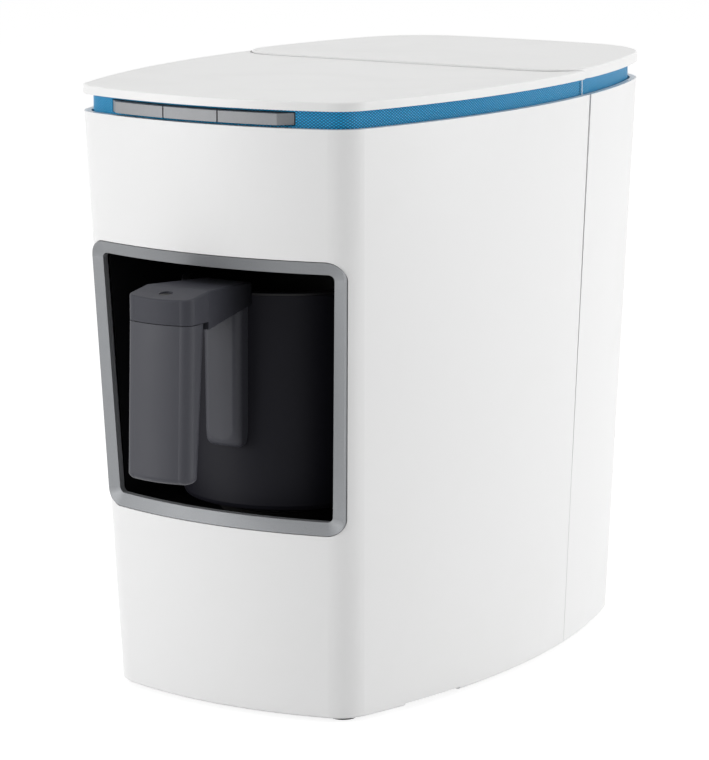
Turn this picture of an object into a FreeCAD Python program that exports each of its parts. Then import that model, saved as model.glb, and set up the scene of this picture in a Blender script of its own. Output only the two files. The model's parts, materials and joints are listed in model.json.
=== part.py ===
"""Electric turkish coffee maker: housing, lids, buttons, pot bay, pot, water tank and works.

Lengths are in millimetres. While modelling, X is to the right seen from the front, Y is to the back,
Z is up, and the origin lies in the middle of the housing's plan at the shell's lower edge. save()
moves each piece into the object's frame, whose origin is the bottom centre of the whole object.
"""
import FreeCAD, Part
import math
import os

Vec = FreeCAD.Vector

# Housing: plan outline at the top edge, and how far each side draws in at the bottom.
# Places at the front are set back from the front face, and places at the rear come forward from the back.
WIDTH = 178.8
DEPTH = 279.7
SHELL_HEIGHT = 250.8
FRONT_BOW = 21.4
SIDE_BOW = 26.8
BACK_BOW = 8.7
FRONT_CORNER_R = 16.9
REAR_CORNER_R = 42.4
SIDE_TAPER = 9.3
FRONT_TAPER = 13.2
BACK_TAPER = 9.9
FRONT_Y = -DEPTH / 2
BACK_Y = DEPTH / 2
WALL = 3.0
LOWER_EDGE = 0.8
RELIEF_Y = (FRONT_Y + 53.85, FRONT_Y + 87.85)
RELIEF_HEIGHT = 1.1

# Clearances
FIT = 0.3
SEAT = 0.1
RUNNING = 0.4

# Seam between front housing and rear cover: a groove that narrows downwards
SEAM_LEAN = 2.0
GROOVE_TOP = 1.9
GROOVE_END = 0.3
GROOVE_END_Z = 70.0
TONGUE = 6.0
TONGUE_WALL = 2.0
TONGUE_LOW_Z = 8.0
TONGUE_DROP = 8.0

# Lids and the bands under them
BAND_GAP = 7.45
FRONT_LID = 3.8
REAR_LID_STEP = 0.9
LID_PROUD = 0.3
LID_SEAM_BEHIND_BAY = 39.7
LID_CORNER_R = 20.3
LID_SEAM_GAP = 0.8
LID_EDGE_R = 0.8
LID_HORN_END = 6.0
LID_PLUG_DROP = 6.0
LID_PLUG_WALL = 2.0
BAND_INSET = 4.0
BAND_WALL = 2.0
DIVIDER = 1.2
DECK = 2.2
DECK_DROP = 6.0
DECK_POST_R = 4.0
DECK_POST_X = 50.0
DECK_POST_Y = (FRONT_Y + 79.85, FRONT_Y + 139.85)

# Buttons
BUTTON_MID_X = -2.7
BUTTON_WIDTH = 26.6
BUTTON_GAP = 0.7
BUTTON_HEIGHT = 4.7
BUTTON_BEVEL = 5.1
BUTTON_DEPTH = 8.0
BUTTON_LIFT = 1.2
BUTTON_NAMES = ("left", "middle", "right")
BUTTON_STEM_HALF = 3.0
PLUNGER_R = 1.6
PLUNGER_LENGTH = 5.0
SWITCH_Y = FRONT_Y + 27.85
SWITCH_DEPTH = 4.0
SWITCH_HALF = 3.1

# Bezel round the pot bay, and the bay itself
BEZEL_TOP_Z = 196.0
BEZEL_BOTTOM_Z = 80.2
BEZEL_TOP_HALF = 63.9
BEZEL_BOTTOM_HALF = 60.0
BEZEL_R = 7.5
BEZEL_RAIL = 5.3
BEZEL_STILE = 8.75
BEZEL_FALL = 2.4
BEZEL_THICK = 5.6
BEZEL_INNER_R = 2.6
BEZEL_CLEARANCE = 0.35
BAY_FLOOR_Z = 77.0
BAY_CEILING_Z = 193.0
BAY_TOP_HALF = 57.5
BAY_BOTTOM_HALF = 54.0
BAY_BEHIND_POT = 50.5
BAY_WALL = 2.0
BAY_R = 5.0

# Water outlet and level sensor over the pot
OUTLET_R = 6.0
OUTLET_FLANGE_R = 11.0
OUTLET_DROP = 5.5
OUTLET_BORE_R = 1.8
OUTLET_NECK = 12.0
LENS_X = 22.0
LENS_R = 4.0

# Pot
POT_SETBACK = 68.35
POT_Y = FRONT_Y + POT_SETBACK
POT_R = 45.5
POT_RIM_Z = 178.0
POT_BOTTOM_Z = 84.2
POT_EDGE_R = 2.5
JACKET = 2.6
CUP_WALL = 1.0
CUP_FLOOR = 2.0
RIM_HEIGHT = 1.2
BASE_DISC = 2.4
BASE_DISC_R = 30.0
BASE_DISC_DROP = 0.8
HOT_PLATE_R = 30.0
HOT_PLATE = 3.0
HEATER_RING_R = 20.0
HEATER_WIRE_R = 3.4
TERMINAL_R = 1.8
TERMINAL_ANGLE = 0.4
PROBE_R = 6.0
PROBE_HEIGHT = 9.0
PROBE_STEM_R = 2.8
PROBE_SPRING_R = 3.4
PROBE_WIRE_R = 0.4
PROBE_BRACKET_DROP = 15.0
PROBE_BRACKET = 1.5

# Handle
GRIP_HALF = 15.8
GRIP_FRONT_Y = POT_Y - 96.5
GRIP_THICK_TOP = 13.0
GRIP_THICK_BOTTOM = 9.5
GRIP_LEAN = 2.5
GRIP_TOP_Z = 171.9
GRIP_BOTTOM_Z = 103.2
GRIP_R = 4.6
GRIP_BULGE = 1.6
GRIP_END_R = 3.6
CAP_FRONT_Z = 182.4
CAP_BACK_Z = 184.6
ARM_UNDER_Z = 168.6
ARM_ROOT_UNDER_Z = 173.0
ARM_ROOT_HALF = 9.6
MOUNT_HALF = 9.6
MOUNT_PROUD = 6.0
MOUNT_BOTTOM_Z = 112.0
MOUNT_EDGE_R = 3.6
ARM_EDGE_R = 0.9
HANDLE_SCREW_INSET = 6.5
HANDLE_SCREW_R = 1.5
HANDLE_SCREW_HEAD_R = 2.6

# Tank, its bay and its valve
TANK_BAY_INSET = 6.0
TANK_BAY_WALL = 2.0
TANK_BAY_FLOOR_Z = 92.0
TANK_INSET = 8.8
TANK_WALL = 2.4
TANK_FLOOR_Z = 96.0
VALVE_X = 0.0
VALVE_Y = BACK_Y - 47.85
VALVE_R = 7.0
VALVE_OPEN = 2.5
VALVE_BORE_R = 3.0
VALVE_SEAT_TOP = 4.4
POPPET_R = 5.5
VALVE_SPRING_R = 3.4
VALVE_WIRE_R = 0.4
TANK_NECK = 3.0
DOCK_BOTTOM_Z = 70.0
TANK_RIM_LIFT = 2.6
TANK_FLANGE = 2.4

# Base
BASE_Z = 2.0
BASE_THICK = 2.5
FOOT_R = 7.5
FOOT_DROP = 2.2
FRONT_FOOT = (51.0, FRONT_Y + 32.35)
REAR_FOOT = (50.0, BACK_Y - 35.85)
SCREW_R = 1.9
SCREW_HEAD_R = 3.6
FRONT_BOSS = (60.0, FRONT_Y + 51.85)
REAR_BOSS = (58.0, BACK_Y - 61.85)
BOSS_R = 5.0
BOSS_TOP_Z = 30.0
BOSS_CAP = 3.0
BOSS_RIB_Z = (8.0, 24.0)
VENT_ROWS = 5
VENT_PITCH = 5.0
VENT_HALF = (18.0, 1.2)
GLAND_X = 45.0
GLAND_Z = 22.0
GLAND_R = 6.0
GLAND_FLANGE_R = 8.5
GLAND_BORE_R = 3.5

# Works
PUMP_R = 19.0
PUMP_LENGTH = 62.0
PUMP_X = -8.0
PUMP_Y = BACK_Y - 67.85
PUMP_Z = 40.0
TUBE_R = 3.2
TUBE_BORE_R = 1.8
BOARD = 1.6
PUMP_NOSE_R = 10.0
PUMP_NOSE = 8.0
SPIGOT = 14.0
MOUNT_BLOCK = 8.0
SUCTION_Z = 64.5
DELIVERY_LOW_Z = 66.0
DELIVERY_BEHIND_BAY = 23.0
DELIVERY_TOP_Z = 222.0
POWER_BOARD_HALF = 44.0
POWER_BOARD_Z = (BAY_FLOOR_Z + 15.0, BAY_CEILING_Z - 11.0)
POWER_BOARD_GAP = 8.0
STANDOFF_R = 3.0

BAY_BACK_Y = POT_Y + BAY_BEHIND_POT
LID_SEAM_Y = BAY_BACK_Y + LID_SEAM_BEHIND_BAY
SEAM_Y_TOP = LID_SEAM_Y + LID_CORNER_R
SEAM_Y_BOTTOM = SEAM_Y_TOP - SEAM_LEAN
DELIVERY_RISE_Y = BAY_BACK_Y + DELIVERY_BEHIND_BAY
LID_BOTTOM_Z = SHELL_HEIGHT + BAND_GAP
FRONT_LID_TOP_Z = LID_BOTTOM_Z + FRONT_LID
DECK_TOP_Z = SHELL_HEIGHT - DECK_DROP
DECK_BOTTOM_Z = DECK_TOP_Z - DECK
BUTTON_Z = SHELL_HEIGHT + BUTTON_LIFT
SWITCH_Z = BUTTON_Z + BUTTON_HEIGHT / 2
TANK_RIM_Z = DECK_TOP_Z + TANK_RIM_LIFT
HOT_PLATE_TOP_Z = POT_BOTTOM_Z - BASE_DISC_DROP - FIT
POT_FRONT_Y = POT_Y - POT_R
GRIP_BACK_Y = GRIP_FRONT_Y + GRIP_THICK_TOP
GRIP_END_SHARE = 1 - GRIP_END_R / (GRIP_TOP_Z - GRIP_BOTTOM_Z)
HANDLE_FRONT_Y = GRIP_FRONT_Y - GRIP_BULGE - GRIP_LEAN * GRIP_END_SHARE
FRAME_SHIFT = Vec(0, -(HANDLE_FRONT_Y + DEPTH / 2 + LID_PROUD) / 2, FOOT_DROP)


def save(name, *shapes):
    """Write one node's STEP file, with each of its solids moved into the object's frame."""
    solids = [solid for shape in shapes for solid in shape.Solids]
    node = solids[0] if len(solids) == 1 else Part.makeCompound(solids)
    node = node.copy()
    node.translate(FRAME_SHIFT)
    if not node.isValid() or not solids:
        print("CHECK", name, "valid", node.isValid(), "solids", len(solids))
    node.exportStep("parts/" + name + ".step")


def arc(start, middle, end):
    """Edge of a circle's arc through three points."""
    return Part.Arc(start, middle, end).toShape()


def polygon(points):
    """Closed wire of straight edges."""
    return Part.makePolygon(list(points) + [points[0]])


def prism(points, direction):
    """Solid swept from a flat polygon along a vector."""
    return Part.Face(polygon(points)).extrude(direction)


def box(x0, x1, y0, y1, z0, z1):
    """Solid block between two corners."""
    return Part.makeBox(x1 - x0, y1 - y0, z1 - z0, Vec(x0, y0, z0))


def rod(x, y, z0, z1, radius):
    """Upright cylinder."""
    return Part.makeCylinder(radius, z1 - z0, Vec(x, y, z0))


def tube(x, y, z0, z1, radius, bore):
    """Upright ring or pipe."""
    return rod(x, y, z0, z1, radius).cut(rod(x, y, z0 - 1, z1 + 1, bore))


def turned(profile, x, y):
    """Solid of revolution about an upright axis, from (radius, z) points."""
    points = [Vec(radius, 0, z) for radius, z in profile]
    face = Part.Face(polygon(points))
    solid = face.revolve(Vec(0, 0, 0), Vec(0, 0, 1), 360)
    solid.translate(Vec(x, y, 0))
    return solid


def edges_near_z(shape, z, within=0.05):
    """Edges of a solid that lie flat at one height."""
    return [
        edge for edge in shape.Edges
        if abs(edge.BoundBox.ZMin - z) < within and abs(edge.BoundBox.ZMax - z) < within
    ]


def plan_at(z):
    """Arc centres and radii of the housing's plan outline at one height."""
    low = 1 - z / SHELL_HEIGHT
    width = WIDTH - 2 * SIDE_TAPER * low
    depth = DEPTH - (FRONT_TAPER + BACK_TAPER) * low
    y_mid = (FRONT_TAPER - BACK_TAPER) / 2 * low
    front_bow = FRONT_BOW * width / WIDTH
    side_bow = SIDE_BOW * depth / DEPTH
    back_bow = BACK_BOW * width / WIDTH
    front_r = (width / 2) ** 2 / (2 * front_bow) + front_bow / 2
    side_r = (depth / 2) ** 2 / (2 * side_bow) + side_bow / 2
    back_r = (width / 2) ** 2 / (2 * back_bow) + back_bow / 2
    front = Vec(0, y_mid - depth / 2 + front_r, 0)
    side = Vec(width / 2 - side_r, y_mid, 0)
    back = Vec(0, y_mid + depth / 2 - back_r, 0)
    near = circle_meet(front, front_r - FRONT_CORNER_R, side, side_r - FRONT_CORNER_R, -1)
    far = circle_meet(back, back_r - REAR_CORNER_R, side, side_r - REAR_CORNER_R, 1)
    return {
        "front": (front, front_r),
        "side": (side, side_r),
        "back": (back, back_r),
        "near": (near, FRONT_CORNER_R),
        "far": (far, REAR_CORNER_R),
    }


def circle_meet(centre_a, radius_a, centre_b, radius_b, y_sign):
    """Point where two circles cross on the right-hand side, towards the front or the back."""
    step = centre_b - centre_a
    gap = step.Length
    along = (radius_a ** 2 - radius_b ** 2 + gap ** 2) / (2 * gap)
    off = math.sqrt(radius_a ** 2 - along ** 2)
    unit = step * (1 / gap)
    side = Vec(-unit.y, unit.x, 0)
    meets = [centre_a + unit * along + side * off, centre_a + unit * along - side * off]
    right = [point for point in meets if point.x > 0 and (point.y - centre_b.y) * y_sign > 0]
    return right[0]


def toward(centre, target, distance):
    """Point at a distance from a centre, in the direction of a target."""
    step = target - centre
    return centre + step * (distance / step.Length)


def mirrored(point):
    """The same point on the other side of the middle plane."""
    return Vec(-point.x, point.y, point.z)


def lifted(point, z):
    """A plan point at a height."""
    return Vec(point.x, point.y, z)


def outline(plan_z, inset=0.0, z=None):
    """Wire of the housing's plan at a height, drawn in by an inset, in eight arcs."""
    plan = plan_at(plan_z)
    z = plan_z if z is None else z
    (front, front_r), (side, side_r), (back, back_r) = plan["front"], plan["side"], plan["back"]
    (near, near_r), (far, far_r) = plan["near"], plan["far"]
    joins = [
        toward(front, near, front_r - inset),
        toward(side, near, side_r - inset),
        toward(side, far, side_r - inset),
        toward(back, far, back_r - inset),
    ]
    near_mid = toward(near, joins[0] + joins[1] - near, near_r - inset)
    far_mid = toward(far, joins[2] + joins[3] - far, far_r - inset)
    side_mid = Vec(side.x + side_r - inset, side.y, 0)
    stops = [
        mirrored(joins[0]), Vec(0, front.y - front_r + inset, 0), joins[0], near_mid, joins[1],
        side_mid, joins[2], far_mid, joins[3], Vec(0, back.y + back_r - inset, 0),
        mirrored(joins[3]), mirrored(far_mid), mirrored(joins[2]), mirrored(side_mid),
        mirrored(joins[1]), mirrored(near_mid), mirrored(joins[0]),
    ]
    stops = [lifted(point, z) for point in stops]
    return Part.Wire([arc(*stops[i:i + 3]) for i in range(0, 16, 2)])


def hull(inset, z0, z1, inset_low=None):
    """Solid inside the tapering housing, between two heights."""
    low = outline(z0, inset if inset_low is None else inset_low)
    return Part.makeLoft([low, outline(z1, inset)], True, True)


def slab(inset, z0, z1):
    """Upright plate of the housing's top outline."""
    return Part.Face(outline(SHELL_HEIGHT, inset, z0)).extrude(Vec(0, 0, z1 - z0))


def ring(inset, wall, z0, z1):
    """Upright band that follows the housing's top outline."""
    return slab(inset, z0, z1).cut(slab(inset + wall, z0 - 1, z1 + 1))


def front_y(x, z, inset=0.0):
    """Y of the housing's front face at a height and a distance from the middle plane."""
    centre, radius = plan_at(z)["front"]
    return centre.y - math.sqrt((radius - inset) ** 2 - x * x)


def side_x(y, z, inset=0.0):
    """X of the housing's right side at a height and a place along its depth."""
    centre, radius = plan_at(z)["side"]
    return centre.x + math.sqrt((radius - inset) ** 2 - (y - centre.y) ** 2)


def rear_plan(plan_z, inset=0.0, z=None):
    """Wire of the rear part of the plan, behind the lid seam, with round front corners."""
    plan = plan_at(plan_z)
    z = plan_z if z is None else z
    (side, side_r), (back, back_r), (far, far_r) = plan["side"], plan["back"], plan["far"]
    corner_r = LID_CORNER_R - inset
    corner_y = LID_SEAM_Y + LID_CORNER_R
    corner_x = side.x + math.sqrt((side_r - LID_CORNER_R) ** 2 - (corner_y - side.y) ** 2)
    corner = Vec(corner_x, corner_y, 0)
    start = Vec(corner_x, corner_y - corner_r, 0)
    shoulder = toward(side, corner, side_r - inset)
    corner_mid = toward(corner, start + shoulder - corner, corner_r)
    joins = [toward(side, far, side_r - inset), toward(back, far, back_r - inset)]
    far_mid = toward(far, joins[0] + joins[1] - far, far_r - inset)
    side_y = (shoulder.y + joins[0].y) / 2
    side_mid = Vec(side_x(side_y, plan_z, inset), side_y, 0)
    stops = [
        start, corner_mid, shoulder, side_mid, joins[0], far_mid, joins[1],
        Vec(0, back.y + back_r - inset, 0), mirrored(joins[1]), mirrored(far_mid),
        mirrored(joins[0]), mirrored(side_mid), mirrored(shoulder), mirrored(corner_mid),
        mirrored(start),
    ]
    stops = [lifted(point, z) for point in stops]
    edges = [arc(*stops[i:i + 3]) for i in range(0, 14, 2)]
    edges.append(Part.LineSegment(stops[-1], stops[0]).toShape())
    return Part.Wire(edges)


def rear_hull(inset, z0, z1):
    """Solid behind the lid seam, between two heights of the tapering housing."""
    return Part.makeLoft([rear_plan(z0, inset), rear_plan(z1, inset)], True, True)


def rear_slab(inset, z0, z1):
    """Upright plate of the rear part's top outline."""
    face = Part.Face(rear_plan(SHELL_HEIGHT, inset, z0))
    return face.extrude(Vec(0, 0, z1 - z0))


def seam_y(z):
    """Y of the side seam's front edge at a height."""
    return SEAM_Y_BOTTOM + (SEAM_Y_TOP - SEAM_Y_BOTTOM) * z / SHELL_HEIGHT


def seam_wedge(far_y, shift):
    """Wedge across the whole width, from a far plane to the seam, moved back at each height by a shift."""
    knee = GROOVE_END_Z
    above = SHELL_HEIGHT + 20
    points = [
        Vec(-WIDTH, far_y, -5),
        Vec(-WIDTH, seam_y(-5) + shift(-5), -5),
        Vec(-WIDTH, seam_y(knee) + shift(knee), knee),
        Vec(-WIDTH, seam_y(SHELL_HEIGHT) + shift(SHELL_HEIGHT), SHELL_HEIGHT),
        Vec(-WIDTH, seam_y(SHELL_HEIGHT) + shift(SHELL_HEIGHT), above),
        Vec(-WIDTH, far_y, above),
    ]
    return prism(points, Vec(2 * WIDTH, 0, 0))


def ahead_of_seam(shift):
    """Everything in front of the seam."""
    return seam_wedge(-DEPTH, shift)


def behind_seam(shift):
    """Everything behind the seam."""
    return seam_wedge(DEPTH, shift)


def no_shift(z):
    """The seam's front edge itself."""
    return 0.0


def groove(z):
    """Width of the groove at a height."""
    if z <= GROOVE_END_Z:
        return GROOVE_END
    share = (z - GROOVE_END_Z) / (SHELL_HEIGHT - GROOVE_END_Z)
    return GROOVE_END + (GROOVE_TOP - GROOVE_END) * share


def bosses(spot):
    """Pair of screw bosses, left and right, with their pilot holes from below."""
    x, y = spot
    z0 = BASE_Z + BASE_THICK
    made = []
    for side in (-1, 1):
        post = tube(side * x, y, z0, BOSS_TOP_Z - BOSS_CAP, BOSS_R, SCREW_R - 0.4)
        made.append(post.fuse(rod(side * x, y, BOSS_TOP_Z - BOSS_CAP, BOSS_TOP_Z, BOSS_R)))
    return made


def boss_ribs(spot):
    """Ribs that carry the two bosses on the side walls."""
    x, y = spot
    z0, z1 = BOSS_RIB_Z
    inside = hull(WALL - 0.6, 0, SHELL_HEIGHT)
    ribs = []
    for side in (-1, 1):
        inner, outer = sorted((side * (x + BOSS_R - 1), side * WIDTH / 2))
        ribs.append(box(inner, outer, y - 1, y + 1, z0, z1).common(inside))
    return ribs


def shell():
    """The whole tapering outer wall, with a broken lower edge, before it is parted at the seam."""
    outer = hull(0, LOWER_EDGE, SHELL_HEIGHT)
    skirt = Part.makeLoft([outline(0, LOWER_EDGE), outline(LOWER_EDGE, 0)], True, True)
    inner = Part.makeLoft([outline(-1, WALL, -1), outline(SHELL_HEIGHT + 1, WALL)], True, True)
    return outer.fuse(skirt).cut(inner)


def foot_relief():
    """Shallow relief in the lower edge of both sides."""
    return box(-WIDTH, WIDTH, RELIEF_Y[0], RELIEF_Y[1], -1, RELIEF_HEIGHT)


def spaced(start, end, steps):
    """Evenly spaced values from start to end."""
    return [start + (end - start) * step / steps for step in range(steps + 1)]


def bezel_loop(half_top, half_bottom, z_top, z_bottom, radius):
    """Points of a rounded frame outline, as (x, z) runs: a corner, then the side after it, four times."""
    lean = math.atan2(half_top - half_bottom, z_top - z_bottom)
    low_z = z_bottom + radius
    high_z = z_top - radius
    low_x = half_bottom + (half_top - half_bottom) * radius / (z_top - z_bottom) - radius / math.cos(lean)
    high_x = half_top - (half_top - half_bottom) * radius / (z_top - z_bottom) - radius / math.cos(lean)
    corners = [
        (low_x, low_z, -math.pi / 2, -lean),
        (high_x, high_z, -lean, math.pi / 2),
        (-high_x, high_z, math.pi / 2, math.pi + lean),
        (-low_x, low_z, math.pi + lean, 1.5 * math.pi),
    ]
    runs = []
    for index, (x, z, start, end) in enumerate(corners):
        bend = [(x + radius * math.cos(a), z + radius * math.sin(a)) for a in spaced(start, end, 6)]
        next_x, next_z, angle, _ = corners[(index + 1) % 4]
        last = (next_x + radius * math.cos(angle), next_z + radius * math.sin(angle))
        side = list(zip(spaced(bend[-1][0], last[0], 8), spaced(bend[-1][1], last[1], 8)))
        runs += [bend, side]
    return runs


def bezel_edges(runs, depth):
    """Curves through the outline's runs, lying a depth behind the curved front face."""
    edges = []
    for run in runs:
        points = [Vec(x, front_y(x, z) + depth, z) for x, z in run]
        curve = Part.BSplineCurve()
        curve.interpolate(points)
        edges.append(curve.toShape())
    return edges


def outer_loop(grow=0.0):
    """Outer outline of the bezel, grown all round."""
    return bezel_loop(
        BEZEL_TOP_HALF + grow, BEZEL_BOTTOM_HALF + grow, BEZEL_TOP_Z + grow, BEZEL_BOTTOM_Z - grow,
        BEZEL_R + grow,
    )


def inner_loop():
    """Inner outline of the bezel: the mouth of the pot bay."""
    return bezel_loop(
        BEZEL_TOP_HALF - BEZEL_STILE, BEZEL_BOTTOM_HALF - BEZEL_STILE,
        BEZEL_TOP_Z - BEZEL_RAIL, BEZEL_BOTTOM_Z + BEZEL_RAIL, BEZEL_INNER_R,
    )


def loop_prism(runs, y0, y1):
    """Straight prism of a frame outline, from front to back."""
    edges = []
    for run in runs:
        points = [Vec(x, y0, z) for x, z in run]
        if len(points) > 2 and (points[1] - points[0]).cross(points[-1] - points[0]).Length > 1e-6:
            edges.append(arc(points[0], points[len(points) // 2], points[-1]))
        else:
            edges.append(Part.LineSegment(points[0], points[-1]).toShape())
    return Part.Face(Part.Wire(edges)).extrude(Vec(0, y1 - y0, 0))


def make_bezel():
    """Frame whose face falls inwards, sewn from ruled faces between four outlines."""
    rings = [
        bezel_edges(outer_loop(), 0.0),
        bezel_edges(inner_loop(), BEZEL_FALL),
        bezel_edges(inner_loop(), BEZEL_THICK),
        bezel_edges(outer_loop(), BEZEL_THICK),
    ]
    faces = []
    for index, here in enumerate(rings):
        there = rings[(index + 1) % 4]
        faces += [Part.makeRuledSurface(a, b) for a, b in zip(here, there)]
    skin = Part.Shell(faces)
    skin.sewShape()
    solid = Part.Solid(Part.Shell(skin.Faces))
    if solid.Volume < 0:
        solid.reverse()
    save("bezel", solid)


def bay_block(grow, y_back):
    """Block of the pot bay's inner space, grown all round by a wall."""
    runs = bezel_loop(
        BAY_TOP_HALF + grow, BAY_BOTTOM_HALF + grow, BAY_CEILING_Z + grow, BAY_FLOOR_Z - grow,
        BAY_R + grow,
    )
    return loop_prism(runs, FRONT_Y - 5, y_back)


def make_housing():
    """Front housing and rear cover, parted at the side seam. A tongue on the cover reaches in."""
    wall = shell().cut(foot_relief())
    front = wall.common(ahead_of_seam(no_shift))
    front = front.cut(loop_prism(outer_loop(BEZEL_CLEARANCE), -DEPTH, 0))
    for piece in bosses(FRONT_BOSS) + boss_ribs(FRONT_BOSS):
        front = front.fuse(piece)
    save("front_housing", front)

    rear = wall.common(behind_seam(groove))
    top = SHELL_HEIGHT - TONGUE_DROP
    hollow = hull(WALL + FIT + TONGUE_WALL, TONGUE_LOW_Z - 1, top + 1)
    tongue = hull(WALL + FIT, TONGUE_LOW_Z, top).cut(hollow)
    root = hull(WALL - 0.8, TONGUE_LOW_Z, top).cut(hollow)
    end = ahead_of_seam(lambda z: groove(z) + TONGUE)
    rear = rear.fuse(tongue.common(behind_seam(lambda z: -TONGUE)).common(end))
    rear = rear.fuse(root.common(behind_seam(lambda z: groove(z) + 1.0)).common(end))
    for piece in bosses(REAR_BOSS) + boss_ribs(REAR_BOSS):
        rear = rear.fuse(piece)
    gland_hole = Part.makeCylinder(GLAND_R, 30, Vec(GLAND_X, BACK_Y - 30, GLAND_Z), Vec(0, 1, 0))
    save("rear_cover", rear.cut(gland_hole))


def back_y(x, z, inset=0.0):
    """Y of the housing's back face at a height and a distance from the middle plane."""
    plan = plan_at(z)
    centre, radius = plan["back"]
    far, far_r = plan["far"]
    if abs(x) > toward(centre, far, radius).x:
        return far.y + math.sqrt((far_r - inset) ** 2 - (abs(x) - far.x) ** 2)
    return centre.y + math.sqrt((radius - inset) ** 2 - x * x)


def make_gland():
    """Cable inlet in the back wall: a flanged bush with its bore, flush with the outside."""
    y = back_y(GLAND_X, GLAND_Z)
    axis = Vec(0, 1, 0)
    bush = Part.makeCylinder(GLAND_R - SEAT, 14, Vec(GLAND_X, y - 10, GLAND_Z), axis)
    bush = bush.common(hull(0, 0, SHELL_HEIGHT))
    flange = Part.makeCylinder(GLAND_FLANGE_R, 3, Vec(GLAND_X, y - 9, GLAND_Z), axis)
    flange = flange.common(hull(WALL + SEAT, 0, SHELL_HEIGHT))
    bore = Part.makeCylinder(GLAND_BORE_R, 40, Vec(GLAND_X, y - 20, GLAND_Z), axis)
    save("cord_gland", bush.fuse(flange).cut(bore))


def make_base():
    """Base plate, four feet and four screws."""
    plate = hull(WALL + FIT, BASE_Z, BASE_Z + BASE_THICK)
    spots = [(side * x, y) for x, y in (FRONT_BOSS, REAR_BOSS) for side in (-1, 1)]
    feet = [(side * x, y) for x, y in (FRONT_FOOT, REAR_FOOT) for side in (-1, 1)]
    for x, y in spots:
        plate = plate.cut(rod(x, y, BASE_Z - 1, BASE_Z + BASE_THICK + 1, SCREW_R + FIT))
    for x, y in feet:
        plate = plate.cut(rod(x, y, BASE_Z - 1, BASE_Z + 1.2, FOOT_R))
    half_x, half_y = VENT_HALF
    for row in range(VENT_ROWS):
        y = PUMP_Y + VENT_PITCH * (row - VENT_ROWS // 2)
        plate = plate.cut(box(-half_x, half_x, y - half_y, y + half_y, BASE_Z - 1, BASE_Z + BASE_THICK + 1))
    save("base_plate", plate)
    names = ("front_left_foot", "front_right_foot", "rear_left_foot", "rear_right_foot")
    for name, (x, y) in zip(names, feet):
        profile = [
            (0, -FOOT_DROP), (FOOT_R - 3.2, -FOOT_DROP), (FOOT_R - 1.6, -FOOT_DROP + 0.5),
            (FOOT_R - 0.5, -FOOT_DROP + 1.5), (FOOT_R - FIT, 0), (FOOT_R - FIT, BASE_Z + 1.1),
            (0, BASE_Z + 1.1),
        ]
        save(name, turned(profile, x, y))
    screws = []
    for x, y in spots:
        head = rod(x, y, BASE_Z - 1.9, BASE_Z - SEAT, SCREW_HEAD_R)
        head = head.cut(box(x - 2.2, x + 2.2, y - 0.5, y + 0.5, BASE_Z - 2.5, BASE_Z - 1.0))
        head = head.cut(box(x - 0.5, x + 0.5, y - 2.2, y + 2.2, BASE_Z - 2.5, BASE_Z - 1.0))
        shank = rod(x, y, BASE_Z - SEAT, BOSS_TOP_Z - 8, SCREW_R - 0.5)
        screws.append(head.fuse(shank))
    save("base_screws", *screws)


def button_cluster():
    """X limits of the whole row of buttons, bevelled ends included."""
    half = 1.5 * BUTTON_WIDTH + BUTTON_GAP + BUTTON_BEVEL
    return BUTTON_MID_X - half, BUTTON_MID_X + half


def button_limits(index):
    """X limits of one button's face."""
    pitch = BUTTON_WIDTH + BUTTON_GAP
    middle = BUTTON_MID_X + (index - 1) * pitch
    return middle - BUTTON_WIDTH / 2, middle + BUTTON_WIDTH / 2


def button_end(x, sign):
    """Wedge that bevels the outer end of the row, from the face back to the band."""
    y = front_y(x, SHELL_HEIGHT)
    start = x - sign * BUTTON_BEVEL
    wedge = prism([
        Vec(start, y - 8, 0), Vec(start, front_y(start, SHELL_HEIGHT), 0), Vec(x, y + BAND_INSET, 0),
        Vec(x + sign * 4, y + BAND_INSET, 0), Vec(x + sign * 4, y - 8, 0),
    ], Vec(0, 0, 10))
    wedge.translate(Vec(0, 0, BUTTON_Z - 2))
    return wedge


def make_buttons():
    """Three push buttons in the band, each with a stem at its back and the plunger that meets the switch."""
    top = BUTTON_Z + BUTTON_HEIGHT
    for index, name in enumerate(BUTTON_NAMES):
        x0, x1 = button_limits(index)
        middle = (x0 + x1) / 2
        x0 -= BUTTON_BEVEL if index == 0 else 0
        x1 += BUTTON_BEVEL if index == 2 else 0
        width = box(x0, x1, -DEPTH, SWITCH_Y, BUTTON_Z, top)
        face = ring(0.0, BUTTON_DEPTH, BUTTON_Z - 1, top + 1).common(width)
        if index == 0:
            face = face.cut(button_end(x0, -1))
        if index == 2:
            face = face.cut(button_end(x1, 1))
        back = front_y(middle, SHELL_HEIGHT, BUTTON_DEPTH) - 0.5
        stem_end = SWITCH_Y - SWITCH_DEPTH
        stem = box(
            middle - BUTTON_STEM_HALF, middle + BUTTON_STEM_HALF, back, stem_end, BUTTON_Z + 0.4, top - 0.4
        )
        save("button_" + name, face.fuse(stem))
        start = Vec(middle, stem_end + SEAT, SWITCH_Z)
        save("plunger_" + name, Part.makeCylinder(PLUNGER_R, PLUNGER_LENGTH, start, Vec(0, 1, 0)))


def make_switches():
    """Upright button board with three switches, held in two slots of the deck."""
    x0, x1 = button_cluster()
    board_y = SWITCH_Y + SWITCH_DEPTH
    save("button_board", box(x0, x1, board_y, board_y + BOARD, DECK_TOP_Z + SEAT, LID_BOTTOM_Z - 1.0))
    half = SWITCH_HALF
    switches = []
    for index in range(len(BUTTON_NAMES)):
        middle = sum(button_limits(index)) / 2
        body = box(middle - half, middle + half, SWITCH_Y, board_y - SEAT, SWITCH_Z - half, SWITCH_Z + half)
        well = Part.makeCylinder(PLUNGER_R + SEAT, 2.9, Vec(middle, SWITCH_Y - 0.1, SWITCH_Z), Vec(0, 1, 0))
        switches.append(body.cut(well))
    save("tact_switches", *switches)


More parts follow.
